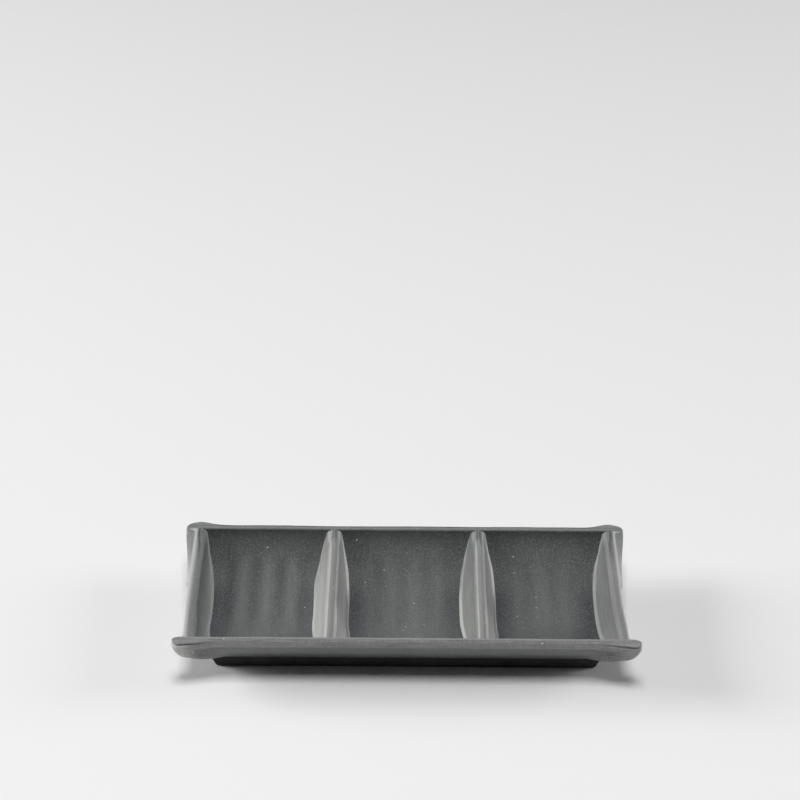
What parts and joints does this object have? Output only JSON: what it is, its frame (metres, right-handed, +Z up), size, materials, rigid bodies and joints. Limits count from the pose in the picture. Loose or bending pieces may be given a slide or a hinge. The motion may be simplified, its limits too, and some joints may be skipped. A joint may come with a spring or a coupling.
{
  "type": "divided sauce dish",
  "caption": "Long shallow sauce dish with a curved trough, cross walls dividing it into compartments, pulled corner ears and a tapered foot ring.",
  "frame": {"origin": "centre of the foot on the table", "axes": "+X to the right along the dish seen from the front, +Y to the back, +Z up"},
  "size_m": [0.2128, 0.1002, 0.028],
  "materials": {
    "speckled_glaze": "satin charcoal grey with fine pale speckles",
    "dark_foot": "matt near-black"
  },
  "bodies": {
    "root": {"tray_shell": "speckled_glaze", "front_rim": "speckled_glaze", "back_rim": "speckled_glaze", "front_left_ear": "speckled_glaze", "front_right_ear": "speckled_glaze", "back_left_ear": "speckled_glaze", "back_right_ear": "speckled_glaze", "left_end_wall": "speckled_glaze", "right_end_wall": "speckled_glaze", "left_divider": "speckled_glaze", "right_divider": "speckled_glaze", "foot_ring": "dark_foot"}
  },
  "joints": []
}
